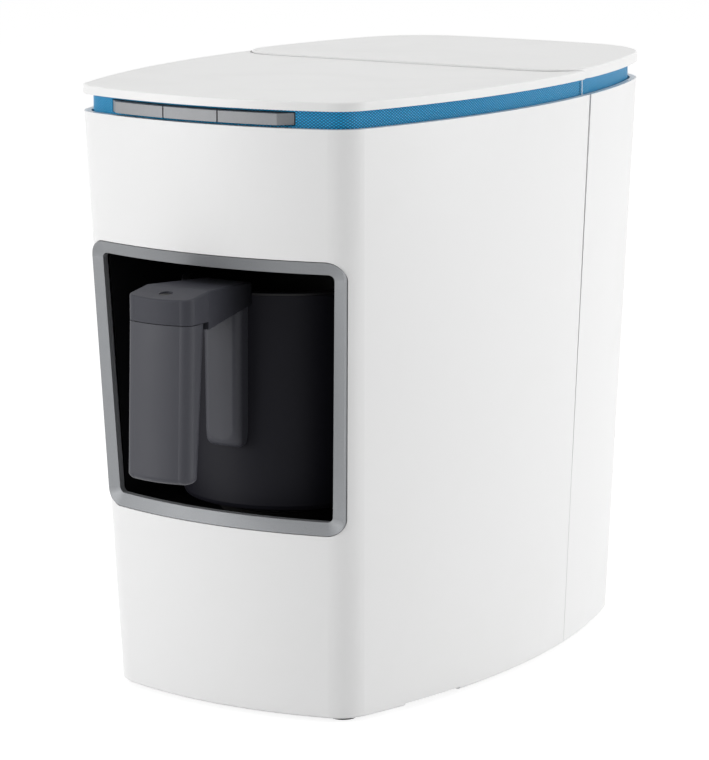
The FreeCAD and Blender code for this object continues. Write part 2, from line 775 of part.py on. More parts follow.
def make_deck():
    """Top deck under the lids: closes the front housing and carries band, board and front lid."""
    plate = hull(WALL + FIT, DECK_BOTTOM_Z, DECK_TOP_Z)
    plate = plate.cut(rear_slab(TANK_BAY_INSET - 3.0, DECK_BOTTOM_Z - 1, DECK_TOP_Z + 1))
    end_y = SEAM_Y_TOP - TONGUE - 0.5
    plate = plate.cut(box(-WIDTH, WIDTH, end_y, DEPTH, DECK_BOTTOM_Z - 1, DECK_TOP_Z + 1))
    x0, x1 = button_cluster()
    y = SWITCH_Y + SWITCH_DEPTH
    for x in (x0 + 6, x1 - 6):
        guide = box(x - 4, x + 4, y - 2.0, y + BOARD + 2.0, DECK_TOP_Z - 0.5, LID_BOTTOM_Z - 3)
        guide = guide.cut(box(x - 5, x + 5, y - SEAT, y + BOARD + SEAT, DECK_TOP_Z, LID_BOTTOM_Z))
        plate = plate.fuse(guide)
    for y in DECK_POST_Y:
        for x in (-DECK_POST_X, DECK_POST_X):
            plate = plate.fuse(rod(x, y, DECK_TOP_Z - 0.5, LID_BOTTOM_Z - SEAT, DECK_POST_R))
    tube_hole = rod(0, POT_Y, DECK_BOTTOM_Z - 1, DECK_TOP_Z + 1, OUTLET_R)
    save("top_deck", plate.cut(tube_hole))


def make_bands():
    """Textured bands under the lids, and the divider strips between them."""
    low = DECK_TOP_Z + SEAT
    top = LID_BOTTOM_Z - SEAT
    band = ring(BAND_INSET, BAND_WALL, low, top)
    ahead = box(-WIDTH, WIDTH, -DEPTH, LID_SEAM_Y + LID_CORNER_R - DIVIDER - SEAT, low - 1, top + 1)
    x0, x1 = button_cluster()
    slot = box(x0 - 0.5, x1 + 0.5, -DEPTH, SWITCH_Y, BUTTON_Z - 0.4, BUTTON_Z + BUTTON_HEIGHT + 0.4)
    front_band = band.common(ahead).cut(slot)
    tank_side = rear_slab(BAND_INSET - LID_SEAM_GAP, low - 1, top + 1)
    save("front_band", front_band.cut(tank_side))

    strip = ring(BAND_INSET - 0.6, BAND_WALL + 0.6, low, top)
    y1 = LID_SEAM_Y + LID_CORNER_R - 0.2
    strips = strip.common(box(-WIDTH, WIDTH, y1 - DIVIDER, y1, low - 1, top + 1))
    save("divider_strips", *strips.cut(tank_side).Solids)

    rear = rear_slab(BAND_INSET, TANK_RIM_Z + SEAT, top).cut(
        rear_slab(BAND_INSET + BAND_WALL, TANK_RIM_Z - 1, top + 1)
    )
    save("tank_band", rear)


def soften_top(shape, z, radius):
    """Round the top edges of a lid."""
    edges = edges_near_z(shape, z)
    return shape.makeFillet(radius, edges)


def make_lids():
    """Front lid, and the rear lid that belongs to the tank."""
    plate = soften_top(slab(-LID_PROUD, LID_BOTTOM_Z, FRONT_LID_TOP_Z), FRONT_LID_TOP_Z, LID_EDGE_R)
    plate = plate.cut(rear_slab(-LID_PROUD - LID_SEAM_GAP, LID_BOTTOM_Z - 1, FRONT_LID_TOP_Z + 1))
    horn_end = LID_SEAM_Y + LID_CORNER_R - LID_HORN_END
    plate = plate.cut(box(-WIDTH, WIDTH, horn_end, DEPTH, 0, SHELL_HEIGHT + 50))
    save("front_lid", plate)

    top = FRONT_LID_TOP_Z + REAR_LID_STEP
    rear = rear_slab(-LID_PROUD, LID_BOTTOM_Z + SEAT, top)
    rear = soften_top(rear, top, LID_EDGE_R)
    plug_inset = BAND_INSET + BAND_WALL + RUNNING
    plug_z = LID_BOTTOM_Z - LID_PLUG_DROP
    plug = rear_slab(plug_inset, plug_z, LID_BOTTOM_Z + 0.5).cut(
        rear_slab(plug_inset + LID_PLUG_WALL, plug_z - 1, LID_BOTTOM_Z + SEAT)
    )
    save("tank_lid", rear.fuse(plug))


def make_pot_bay():
    """Black liner of the pot bay, with holes for the hot plate, the water outlet and the level sensor."""
    liner = bay_block(BAY_WALL, BAY_BACK_Y + BAY_WALL).cut(bay_block(0, BAY_BACK_Y))
    liner = liner.common(hull(BEZEL_THICK + BEZEL_CLEARANCE, 1, SHELL_HEIGHT - 1))
    liner = liner.cut(rod(0, POT_Y, BAY_FLOOR_Z - 10, BAY_FLOOR_Z + 1, HOT_PLATE_R - 4))
    for x, radius in ((0, OUTLET_R), (LENS_X, LENS_R)):
        liner = liner.cut(rod(x, POT_Y, BAY_CEILING_Z - 1, BAY_CEILING_Z + 10, radius + FIT))
    save("pot_bay_liner", liner)


def make_heater():
    """Hot plate on its gasket, with the heating ring under it and a spring-loaded probe in its middle."""
    top = HOT_PLATE_TOP_Z
    low = top - HOT_PLATE
    save("hot_plate", turned([
        (PROBE_R + FIT, low), (HOT_PLATE_R - 1.2, low), (HOT_PLATE_R, low + 1.2), (HOT_PLATE_R, top - 0.6),
        (HOT_PLATE_R - 0.6, top), (PROBE_R + FIT, top),
    ], 0, POT_Y))
    save("plate_gasket", tube(0, POT_Y, BAY_FLOOR_Z + SEAT, low - SEAT, HOT_PLATE_R - 0.5, HOT_PLATE_R - 3.5))
    heater = Part.makeTorus(HEATER_RING_R, HEATER_WIRE_R, Vec(0, POT_Y, low - HEATER_WIRE_R - SEAT))
    for side in (-1, 1):
        x = side * HEATER_RING_R * math.sin(TERMINAL_ANGLE)
        y = POT_Y + HEATER_RING_R * math.cos(TERMINAL_ANGLE)
        heater = heater.fuse(rod(x, y, low - 14, low - 4, TERMINAL_R))
    save("heating_ring", heater)
    save("temperature_sensor", turned([
        (0, top - PROBE_HEIGHT), (PROBE_STEM_R, top - PROBE_HEIGHT), (PROBE_STEM_R, top - 4),
        (PROBE_R, top - 4), (PROBE_R, top - 0.4), (PROBE_R - 0.4, top), (0, top),
    ], 0, POT_Y))

    shelf = top - PROBE_BRACKET_DROP
    hang = BAY_FLOOR_Z - BAY_WALL - SEAT
    y0, y1 = POT_Y - 4, POT_Y + 4
    bracket = box(-24, 24, y0, y1, shelf - PROBE_BRACKET, shelf)
    cup_r = PROBE_SPRING_R + PROBE_WIRE_R + RUNNING
    bracket = bracket.fuse(tube(0, POT_Y, shelf - 0.2, shelf + 5, cup_r + PROBE_BRACKET, cup_r))
    for side in (-1, 1):
        leg_x = sorted((side * 24, side * 26))
        ear_x = sorted((side * 24, side * 30))
        bracket = bracket.fuse(box(*leg_x, y0, y1, shelf - PROBE_BRACKET, hang))
        bracket = bracket.fuse(box(*ear_x, y0, y1, hang - PROBE_BRACKET, hang))
    save("sensor_bracket", bracket)
    save("sensor_spring", coil(0, POT_Y, shelf + SEAT, top - 4 - SEAT, PROBE_SPRING_R, PROBE_WIRE_R, 5))


def coil(x, y, z0, z1, radius, wire_r, turns):
    """Compression spring on an upright axis."""
    height = z1 - z0 - 2 * wire_r
    helix = Part.makeHelix(height / turns, height, radius)
    section = Part.Wire(Part.makeCircle(wire_r, Vec(radius, 0, 0), Vec(0, 1, 0)))
    spring = Part.Wire(helix).makePipeShell([section], True, True)
    spring.translate(Vec(x, y, z0 + wire_r))
    return spring


def make_brew_head():
    """Water outlet over the pot with its flange above the ceiling, and the level sensor beside it."""
    low = BAY_CEILING_Z - OUTLET_DROP
    flange_z = BAY_CEILING_Z + BAY_WALL + SEAT
    neck_z = flange_z + OUTLET_NECK
    save("water_outlet", turned([
        (OUTLET_BORE_R, low), (OUTLET_R - 2, low), (OUTLET_R, low + 2), (OUTLET_R, flange_z),
        (OUTLET_FLANGE_R, flange_z), (OUTLET_FLANGE_R, flange_z + 2.5), (4.6, flange_z + 2.5), (4.6, neck_z),
        (OUTLET_BORE_R, neck_z),
    ], 0, POT_Y))
    save("level_sensor", turned([
        (0, BAY_CEILING_Z - 1.5), (LENS_R - 1, BAY_CEILING_Z - 1.5), (LENS_R, BAY_CEILING_Z - 0.5),
        (LENS_R, flange_z), (LENS_R + 2.5, flange_z), (LENS_R + 2.5, flange_z + 8), (0, flange_z + 8),
    ], LENS_X, POT_Y))


def make_pot():
    """Pot: jacket, inner cup with its rolled rim, and the base disc that meets the hot plate."""
    edge = POT_EDGE_R * (1 - math.sqrt(0.5))
    rim_z = POT_RIM_Z - RIM_HEIGHT
    floor = POT_BOTTOM_Z + BASE_DISC
    save("pot_jacket", turned([
        (POT_R - JACKET, floor), (BASE_DISC_R + FIT, floor), (BASE_DISC_R + FIT, POT_BOTTOM_Z),
        (POT_R - POT_EDGE_R, POT_BOTTOM_Z), (POT_R - edge, POT_BOTTOM_Z + edge),
        (POT_R, POT_BOTTOM_Z + POT_EDGE_R), (POT_R, rim_z - SEAT), (POT_R - JACKET, rim_z - SEAT),
    ], 0, POT_Y))

    floor += SEAT
    outer = POT_R - JACKET - FIT
    inner = outer - CUP_WALL
    save("pot_cup", turned([
        (0, floor), (outer - 6, floor), (outer - 1.8, floor + 1.8), (outer, floor + 6), (outer, rim_z),
        (POT_R - 0.2, rim_z), (POT_R - 0.2, POT_RIM_Z - 0.3), (POT_R - 0.6, POT_RIM_Z),
        (inner + 0.5, POT_RIM_Z), (inner, POT_RIM_Z - 0.8), (inner, floor + 6.5),
        (inner - 1.8, floor + CUP_FLOOR + 1.4), (inner - 6, floor + CUP_FLOOR), (0, floor + CUP_FLOOR),
    ], 0, POT_Y))
    disc_z = POT_BOTTOM_Z - BASE_DISC_DROP
    save("pot_base_disc", turned([
        (0, disc_z), (BASE_DISC_R - 0.8, disc_z), (BASE_DISC_R, POT_BOTTOM_Z),
        (BASE_DISC_R, POT_BOTTOM_Z + BASE_DISC), (0, POT_BOTTOM_Z + BASE_DISC),
    ], 0, POT_Y))


def arm_under_z(y):
    """Height of the sloping underside of the handle's arm."""
    slope = (ARM_ROOT_UNDER_Z - ARM_UNDER_Z) / (POT_FRONT_Y - GRIP_BACK_Y)
    return ARM_ROOT_UNDER_Z - slope * (POT_FRONT_Y - y)


def grip_wire(z, lean, thick):
    """Plan of the grip at a height: a slab with round corners and a bowed front."""
    front = GRIP_FRONT_Y - lean
    back = front + thick
    half = GRIP_HALF
    r = GRIP_R
    cut = r * (1 - math.sqrt(0.5))
    right = [
        Vec(half - r, front, z), Vec(half - cut, front + cut, z), Vec(half, front + r, z),
        Vec(half, (front + back) / 2, z), Vec(half, back - r * 0.8, z),
        Vec(half - cut, back - cut * 0.8, z), Vec(half - r, back, z),
    ]
    left = [mirrored(point) for point in reversed(right)]
    points = [Vec(0, front - GRIP_BULGE, z)] + right + [Vec(0, back + 0.6, z)] + left
    points = [left[-1]] + points
    edges = []
    for i in range(0, len(points) - 1, 2):
        a, b, c = points[i:i + 3]
        straight = (b - a).cross(c - a).Length < 1e-6
        edges.append(Part.LineSegment(a, c).toShape() if straight else arc(a, b, c))
    return Part.Wire(edges)


def make_handle_mount():
    """Column on the front of the jacket that carries the arm: a round lower end and softened front edges."""
    half = MOUNT_HALF
    front = POT_FRONT_Y - MOUNT_PROUD
    low = MOUNT_BOTTOM_Z + half * 0.7
    above = SHELL_HEIGHT
    corners = [
        Vec(-half, front, low), Vec(-half, front, above), Vec(half, front, above), Vec(half, front, low),
    ]
    edges = [Part.LineSegment(a, b).toShape() for a, b in zip(corners, corners[1:])]
    edges.append(arc(corners[3], Vec(0, front, MOUNT_BOTTOM_Z), corners[0]))
    column = Part.Face(Part.Wire(edges)).extrude(Vec(0, MOUNT_PROUD + 14, 0))
    rim = [
        edge for edge in column.Edges
        if edge.BoundBox.YMax < front + 0.01 and edge.BoundBox.ZMin < above - 1
    ]
    column = column.makeFillet(MOUNT_EDGE_R, rim)
    y0, y1 = front - 5, POT_Y
    above_arm = prism([
        Vec(-40, y0, arm_under_z(y0) - SEAT), Vec(-40, y0, above), Vec(-40, y1, above),
        Vec(-40, y1, arm_under_z(y1) - SEAT),
    ], Vec(80, 0, 0))
    save("handle_mount", column.cut(above_arm).cut(rod(0, POT_Y, 0, SHELL_HEIGHT, POT_R + SEAT)))


def make_handle():
    """Grip, and the arm whose cap closes the grip's top, held by a screw from above."""
    grip = Part.makeLoft([
        grip_wire(GRIP_BOTTOM_Z, GRIP_LEAN, GRIP_THICK_BOTTOM),
        grip_wire(GRIP_TOP_Z - FIT, 0, GRIP_THICK_TOP),
    ], True, True)
    save("handle_grip", grip.makeFillet(GRIP_END_R, edges_near_z(grip, GRIP_BOTTOM_Z)))

    root = POT_FRONT_Y + 20
    cap = Part.Face(grip_wire(GRIP_TOP_Z, 0, GRIP_THICK_TOP)).extrude(Vec(0, 0, 30))
    profile = prism([
        Vec(-40, GRIP_FRONT_Y - 5, GRIP_TOP_Z), Vec(-40, GRIP_FRONT_Y - 5, CAP_FRONT_Z - 0.8),
        Vec(-40, GRIP_BACK_Y + 2, CAP_BACK_Z), Vec(-40, root, CAP_BACK_Z - 3.0),
        Vec(-40, root, arm_under_z(root)), Vec(-40, GRIP_BACK_Y + 1, ARM_UNDER_Z),
        Vec(-40, GRIP_BACK_Y + 1, GRIP_TOP_Z),
    ], Vec(80, 0, 0))
    plan = prism([
        Vec(-GRIP_HALF, GRIP_BACK_Y - 5, 150), Vec(GRIP_HALF, GRIP_BACK_Y - 5, 150),
        Vec(GRIP_HALF, GRIP_BACK_Y + 1.5, 150), Vec(ARM_ROOT_HALF, POT_FRONT_Y + 15, 150),
        Vec(-ARM_ROOT_HALF, POT_FRONT_Y + 15, 150), Vec(-GRIP_HALF, GRIP_BACK_Y + 1.5, 150),
    ], Vec(0, 0, 60))
    arm = cap.fuse(plan).common(profile).cut(rod(0, POT_Y, 0, SHELL_HEIGHT, POT_R + SEAT)).removeSplitter()
    top_edges = [
        edge for edge in arm.Edges
        if edge.BoundBox.ZMin > CAP_FRONT_Z - 2.0 and edge.BoundBox.YMax < POT_FRONT_Y + 4
        and edge.BoundBox.ZLength < 4
    ]
    screw_y = GRIP_FRONT_Y + HANDLE_SCREW_INSET
    arm = arm.makeFillet(ARM_EDGE_R, top_edges)
    arm = arm.cut(rod(0, screw_y, CAP_FRONT_Z - 0.6, 200, HANDLE_SCREW_HEAD_R + FIT))
    arm = arm.cut(rod(0, screw_y, GRIP_TOP_Z - 1, 200, HANDLE_SCREW_R + FIT))
    save("handle_arm", arm)

    head = rod(0, screw_y, CAP_FRONT_Z - 0.5, CAP_FRONT_Z + 0.5, HANDLE_SCREW_HEAD_R)
    head = head.cut(box(-2, 2, screw_y - 0.4, screw_y + 0.4, CAP_FRONT_Z - 0.1, CAP_FRONT_Z + 2))
    save("handle_screw", head.fuse(rod(0, screw_y, GRIP_TOP_Z + FIT, CAP_FRONT_Z - 0.4, HANDLE_SCREW_R)))


def make_tank():
    """Tank bay, and the water tank that stands in it on its flange."""
    bay_top = TANK_RIM_Z - TANK_FLANGE - SEAT
    bay = rear_hull(TANK_BAY_INSET, TANK_BAY_FLOOR_Z - TANK_BAY_WALL, bay_top).cut(
        rear_hull(TANK_BAY_INSET + TANK_BAY_WALL, TANK_BAY_FLOOR_Z, bay_top + 1)
    )
    neck_r = VALVE_R + 2
    save("tank_bay", bay.cut(rod(VALVE_X, VALVE_Y, DOCK_BOTTOM_Z, TANK_FLOOR_Z, neck_r + FIT)))

    body = rear_hull(TANK_INSET, TANK_FLOOR_Z, TANK_RIM_Z - TANK_FLANGE)
    flange = rear_slab(BAND_INSET + FIT, TANK_RIM_Z - TANK_FLANGE, TANK_RIM_Z)
    inside = rear_hull(TANK_INSET + TANK_WALL, TANK_FLOOR_Z + TANK_WALL, TANK_RIM_Z + 1)
    neck = rod(VALVE_X, VALVE_Y, TANK_FLOOR_Z - TANK_NECK, TANK_FLOOR_Z + 2, neck_r)
    bore = rod(VALVE_X, VALVE_Y, TANK_FLOOR_Z - 6, TANK_FLOOR_Z + 8, VALVE_R)
    save("tank_body", body.fuse(flange).cut(inside).fuse(neck).cut(bore))


def make_valve():
    """Outlet valve in the tank's floor, stored open on the docking pin, with its seat, spring and cage."""
    z = TANK_FLOOR_Z
    neck_r = VALVE_R + 2
    ledge = z + TANK_WALL + SEAT
    seat_top = z + VALVE_SEAT_TOP
    save("valve_seat", turned([
        (VALVE_BORE_R, z - 2.8), (VALVE_R - SEAT, z - 2.8), (VALVE_R - SEAT, ledge), (neck_r, ledge),
        (neck_r, seat_top), (VALVE_BORE_R, seat_top),
    ], VALVE_X, VALVE_Y))
    lift = seat_top + VALVE_OPEN
    save("valve_poppet", turned([
        (0, z - 2.0), (1.6, z - 2.0), (1.6, lift), (POPPET_R, lift), (POPPET_R, lift + 1.6),
        (2.0, lift + 1.6), (2.0, lift + 8), (0, lift + 8),
    ], VALVE_X, VALVE_Y))
    cage = tube(VALVE_X, VALVE_Y, seat_top + SEAT, lift + 12, VALVE_R + 1.6, VALVE_R + 0.2)
    cage = cage.fuse(rod(VALVE_X, VALVE_Y, lift + 10.5, lift + 12, VALVE_R + 1))
    for turn in (0, 120, 240):
        window = box(-2.5, 2.5, 0, 14, seat_top + 2.1, lift + 8)
        window.rotate(Vec(0, 0, 0), Vec(0, 0, 1), turn)
        window.translate(Vec(VALVE_X, VALVE_Y, 0))
        cage = cage.cut(window)
    save("valve_cage", cage)
    save("valve_spring", coil(
        VALVE_X, VALVE_Y, lift + 1.7, lift + 10.4, VALVE_SPRING_R, VALVE_WIRE_R, 4
    ))


def make_dock():
    """Socket under the tank bay whose pin lifts the poppet, with a ring seal on top."""
    neck_r = VALVE_R + 2
    top = TANK_FLOOR_Z - TANK_NECK - SEAT
    under_bay = TANK_BAY_FLOOR_Z - TANK_BAY_WALL - SEAT
    socket = tube(VALVE_X, VALVE_Y, DOCK_BOTTOM_Z, top - 1.2, neck_r, 3.6)
    collar = tube(VALVE_X, VALVE_Y, under_bay - 2.0, under_bay, VALVE_R + 6, 5)
    spokes = box(
        VALVE_X - 4.5, VALVE_X + 4.5, VALVE_Y - 0.8, VALVE_Y + 0.8, DOCK_BOTTOM_Z + 2, DOCK_BOTTOM_Z + 6
    )
    pin = rod(VALVE_X, VALVE_Y, DOCK_BOTTOM_Z - 1, TANK_FLOOR_Z - 2.0 - SEAT, 1.4)
    save("tank_dock", socket.fuse(collar).fuse(spokes).fuse(pin))
    save("dock_seal", tube(VALVE_X, VALVE_Y, top - 1.1, top, VALVE_R + 1.5, 4.5))


def arc_path(points, radii):
    """Wire of straight runs joined by tangent arcs."""
    edges = []
    start = points[0]
    for before, corner, after, radius in zip(points, points[1:], points[2:], radii):
        a = (before - corner).normalize()
        b = (after - corner).normalize()
        half = a.getAngle(b) / 2
        reach = radius / math.tan(half)
        first = corner + a * reach
        last = corner + b * reach
        middle_dir = (a + b).normalize()
        centre = corner + middle_dir * (radius / math.sin(half))
        middle = centre - middle_dir * radius
        edges.append(Part.LineSegment(start, first).toShape())
        edges.append(arc(first, middle, last))
        start = last
    edges.append(Part.LineSegment(start, points[-1]).toShape())
    return Part.Wire(edges)


def pipe(points, radii, outer, bore):
    """Hose along a path, with its bore."""
    path = arc_path(points, radii)
    direction = points[1] - points[0]
    solids = []
    for radius in (outer, bore):
        section = Part.Wire(Part.makeCircle(radius, points[0], direction))
        solids.append(path.makePipeShell([section], True, False))
    return solids[0].cut(solids[1])


def make_pump():
    """Pump on two rubber mounts."""
    x0 = PUMP_X - PUMP_LENGTH / 2
    x1 = x0 + PUMP_LENGTH
    axis = Vec(1, 0, 0)
    nose_start = Vec(x0 - PUMP_NOSE, PUMP_Y, PUMP_Z)
    pump = Part.makeCylinder(PUMP_R, PUMP_LENGTH, Vec(x0, PUMP_Y, PUMP_Z), axis)
    pump = pump.fuse(Part.makeCylinder(PUMP_NOSE_R, PUMP_LENGTH + 2 * PUMP_NOSE, nose_start, axis))
    for x in (x0 - PUMP_NOSE / 2, x1 + PUMP_NOSE / 2):
        pump = pump.fuse(rod(x, PUMP_Y, PUMP_Z, PUMP_Z + SPIGOT, TUBE_BORE_R - SEAT))
    save("pump", pump)
    saddle = Part.makeCylinder(PUMP_R + SEAT, PUMP_LENGTH + 40, Vec(x0 - 20, PUMP_Y, PUMP_Z), axis)
    floor = BASE_Z + BASE_THICK + SEAT
    for name, x in (("pump_mount_left", x0 + 10), ("pump_mount_right", x1 - 18)):
        block = box(x, x + MOUNT_BLOCK, PUMP_Y - 15, PUMP_Y + 15, floor, PUMP_Z - 6)
        save(name, block.cut(saddle))


def make_tubes():
    """Suction tube from the docking socket to the pump, and delivery tube from there to the outlet."""
    low = PUMP_Z + PUMP_NOSE_R + SEAT
    inlet_x = PUMP_X + PUMP_LENGTH / 2 + PUMP_NOSE / 2
    outlet_x = PUMP_X - PUMP_LENGTH / 2 - PUMP_NOSE / 2
    save("suction_tube", pipe(
        [
            Vec(inlet_x, PUMP_Y, low), Vec(inlet_x, PUMP_Y, SUCTION_Z), Vec(VALVE_X, VALVE_Y, SUCTION_Z),
            Vec(VALVE_X, VALVE_Y, DOCK_BOTTOM_Z - 0.2),
        ],
        [4.2, 4.2], TUBE_R, TUBE_BORE_R,
    ))
    neck_z = BAY_CEILING_Z + BAY_WALL + SEAT + OUTLET_NECK
    save("delivery_tube", pipe(
        [
            Vec(outlet_x, PUMP_Y, low), Vec(outlet_x, PUMP_Y, DELIVERY_LOW_Z),
            Vec(outlet_x, DELIVERY_RISE_Y, DELIVERY_LOW_Z), Vec(outlet_x, DELIVERY_RISE_Y, DELIVERY_TOP_Z),
            Vec(0, POT_Y, DELIVERY_TOP_Z), Vec(0, POT_Y, neck_z + SEAT),
        ],
        [5, 12, 14, 10], TUBE_R, TUBE_BORE_R,
    ))


def make_power_board():
    """Power board with its three tallest components, on four standoffs behind the pot bay."""
    x0, x1 = -POWER_BOARD_HALF, POWER_BOARD_HALF
    z0, z1 = POWER_BOARD_Z
    wall_y = BAY_BACK_Y + BAY_WALL + SEAT
    y = BAY_BACK_Y + BAY_WALL + POWER_BOARD_GAP
    back = y + BOARD - 0.1
    board = box(x0, x1, y, y + BOARD, z0, z1)
    transformer = box(-34, -10, back, back + 16, z0 + 12, z0 + 36)
    relay = box(8, 30, back, back + 12, z0 + 8, z0 + 24)
    capacitor = box(-20, 6, back, back + 5, z0 + 48, z0 + 74)
    save("power_board", board.fuse(transformer).fuse(relay).fuse(capacitor))
    posts = [
        Part.makeCylinder(STANDOFF_R, y - SEAT - wall_y, Vec(x, wall_y, z), Vec(0, 1, 0))
        for x in (x0 + 5, x1 - 5) for z in (z0 + 5, z1 - 5)
    ]
    save("board_standoffs", *posts)


def main():
    os.makedirs("parts", exist_ok=True)
    make_housing()
    make_gland()
    make_base()
    make_bezel()
    make_pot_bay()
    make_heater()
    make_brew_head()
    make_deck()
    make_bands()
    make_lids()
    make_buttons()
    make_switches()
    make_pot()
    make_handle_mount()
    make_handle()
    make_tank()
    make_valve()
    make_dock()
    make_pump()
    make_tubes()
    make_power_board()


main()
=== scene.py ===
# %% [markdown]
# # Electric turkish coffee maker
#
# A narrow white appliance with a pot bay in its front face. The pot stands in the bay on a hot
# plate, its handle pointing out of the opening. Above the bay a blue patterned band runs round the
# top of the housing, with three grey buttons let into it, and two thin lids close the top. The CAD
# parts have nearly all of the real outline, so this lesson is mostly about finishes: what each
# surface is made of and how that shows at the scale of this object. Four parts are reshaped a
# little near the end.

import json
import math

import bpy
from mathutils import Matrix, Vector


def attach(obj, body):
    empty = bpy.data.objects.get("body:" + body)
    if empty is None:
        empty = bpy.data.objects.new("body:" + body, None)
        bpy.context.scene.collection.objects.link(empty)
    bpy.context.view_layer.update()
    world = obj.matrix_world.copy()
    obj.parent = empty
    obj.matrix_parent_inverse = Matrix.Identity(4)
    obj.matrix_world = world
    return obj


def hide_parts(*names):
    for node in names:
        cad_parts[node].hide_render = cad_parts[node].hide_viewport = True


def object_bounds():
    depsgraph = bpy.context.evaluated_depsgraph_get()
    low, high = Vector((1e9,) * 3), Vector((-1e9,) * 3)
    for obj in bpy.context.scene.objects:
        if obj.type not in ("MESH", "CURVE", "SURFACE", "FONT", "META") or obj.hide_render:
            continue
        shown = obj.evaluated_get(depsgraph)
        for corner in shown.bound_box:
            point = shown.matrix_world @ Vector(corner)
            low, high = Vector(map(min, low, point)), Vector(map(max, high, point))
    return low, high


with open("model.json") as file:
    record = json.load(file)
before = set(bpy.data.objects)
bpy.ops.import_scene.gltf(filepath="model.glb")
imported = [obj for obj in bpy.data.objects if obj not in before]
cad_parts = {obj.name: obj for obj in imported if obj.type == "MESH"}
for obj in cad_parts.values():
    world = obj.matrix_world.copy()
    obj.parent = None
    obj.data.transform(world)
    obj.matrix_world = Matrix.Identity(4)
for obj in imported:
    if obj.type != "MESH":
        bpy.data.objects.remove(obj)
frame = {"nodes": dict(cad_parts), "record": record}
cad_low, cad_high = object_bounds()
nodes = frame["nodes"]
print("CAD box in metres:", [round(v, 4) for v in cad_high - cad_low])

# %% [markdown]
# ## Camera
#
# The photograph was taken from the right of the front and a little above the lid, with a long
# lens, as product pictures are. Two angles, a distance and a focal length describe it. They are
# worked out once from edges of the object that can be recognised in the picture, such as the
# bezel's corners and the lid's rim. Blender measures the focal length against the long side of the
# picture, so the sensor width stands for the 760 pixels of its height.

# %% Camera
PICTURE_HEIGHT = 760
SENSOR_WIDTH = 36.0
FOCAL_PIXELS = 3331.9
CAMERA_AZIMUTH = math.radians(32.148)
CAMERA_ELEVATION = math.radians(11.177)
CAMERA_ROLL = math.radians(-0.063)
CAMERA_PLACE = Vector((0.77841, -1.23965, 0.41428))
CLIP_NEAR, CLIP_FAR = 0.05, 30.0

camera_data = bpy.data.cameras.new("product_camera")
camera_data.sensor_width = SENSOR_WIDTH
camera_data.lens = FOCAL_PIXELS / PICTURE_HEIGHT * SENSOR_WIDTH
camera_data.clip_start, camera_data.clip_end = CLIP_NEAR, CLIP_FAR
camera = bpy.data.objects.new("product_camera", camera_data)
bpy.context.scene.collection.objects.link(camera)

backwards = Vector((
    math.sin(CAMERA_AZIMUTH) * math.cos(CAMERA_ELEVATION),
    -math.cos(CAMERA_AZIMUTH) * math.cos(CAMERA_ELEVATION),
    math.sin(CAMERA_ELEVATION),
))
aim = (-backwards).to_track_quat("-Z", "Y").to_matrix() @ Matrix.Rotation(CAMERA_ROLL, 3, "Z")
camera.matrix_world = Matrix.Translation(CAMERA_PLACE) @ aim.to_4x4()
bpy.context.scene.camera = camera
print("lens in mm:", round(camera_data.lens, 1))

# %% [markdown]
# ## Floor, background and light
#
# A product picture is lit by large soft boxes, so that a white shell still shows its curves. Here
# one stands to the left of the front, one to the right and behind, and one hangs over the lids,
# and a dim even light fills the rest. The floor shows the camera a plain white with a faint
# shadow. Camera, mirror and glass rays see the surroundings and the floor as white, while the
# light that they throw on the object is dimmer.

# %% Small helpers for node trees
def add(tree, kind, **settings):
    """Add a node, set its properties, and give values to its inputs by name."""
    inputs = settings.pop("inputs", {})
    node = tree.nodes.new(kind)
    for name, value in settings.items():
        setattr(node, name, value)
    for name, value in inputs.items():
        node.inputs[name].default_value = value
    return node


def join(tree, source, target):
    """Link an output socket to an input socket."""
    tree.links.new(source, target)


def math_node(tree, operation, *values):
    """A Math node whose inputs are sockets or plain numbers."""
    node = add(tree, "ShaderNodeMath", operation=operation)
    for socket, value in zip(node.inputs, values):
        if isinstance(value, (int, float)):
            socket.default_value = value
        else:
            join(tree, value, socket)
    return node.outputs[0]


def seen_directly(tree):
    """1 for camera, mirror and glass rays, 0 for the light that falls on the object."""
    path = add(tree, "ShaderNodeLightPath")
    either = math_node(tree, "MAXIMUM", path.outputs["Is Camera Ray"], path.outputs["Is Glossy Ray"])
    return math_node(tree, "MAXIMUM", either, path.outputs["Is Transmission Ray"])


# %% Background
WORLD_LIGHT = 0.36
WHITE = (1.0, 1.0, 1.0, 1.0)

world = bpy.data.worlds.new("studio")
bpy.context.scene.world = world
world.use_nodes = True
tree = world.node_tree
tree.nodes.clear()
world_out = add(tree, "ShaderNodeOutputWorld")
plain = add(tree, "ShaderNodeBackground", inputs={"Color": WHITE, "Strength": WORLD_LIGHT})
shown = add(tree, "ShaderNodeBackground", inputs={"Color": WHITE, "Strength": 1.0})
choose = add(tree, "ShaderNodeMixShader")
join(tree, seen_directly(tree), choose.inputs[0])
join(tree, plain.outputs[0], choose.inputs[1])
join(tree, shown.outputs[0], choose.inputs[2])
join(tree, choose.outputs[0], world_out.inputs["Surface"])

# %% Floor
FLOOR_RADIUS = 4.0
FLOOR_CORNERS = 60
FLOOR_GLOW = 0.88
FLOOR_SHADE = (0.30, 0.30, 0.30, 1.0)
FLOOR_BOUNCE = (0.80, 0.80, 0.80, 1.0)

floor_mesh = bpy.data.meshes.new("studio_floor")
turns = [2 * math.pi * index / FLOOR_CORNERS for index in range(FLOOR_CORNERS)]
corners = [(FLOOR_RADIUS * math.cos(turn), FLOOR_RADIUS * math.sin(turn), 0.0) for turn in turns]
floor_mesh.from_pydata(corners, [], [list(range(FLOOR_CORNERS))])
floor = bpy.data.objects.new("studio_floor", floor_mesh)
bpy.context.scene.collection.objects.link(floor)

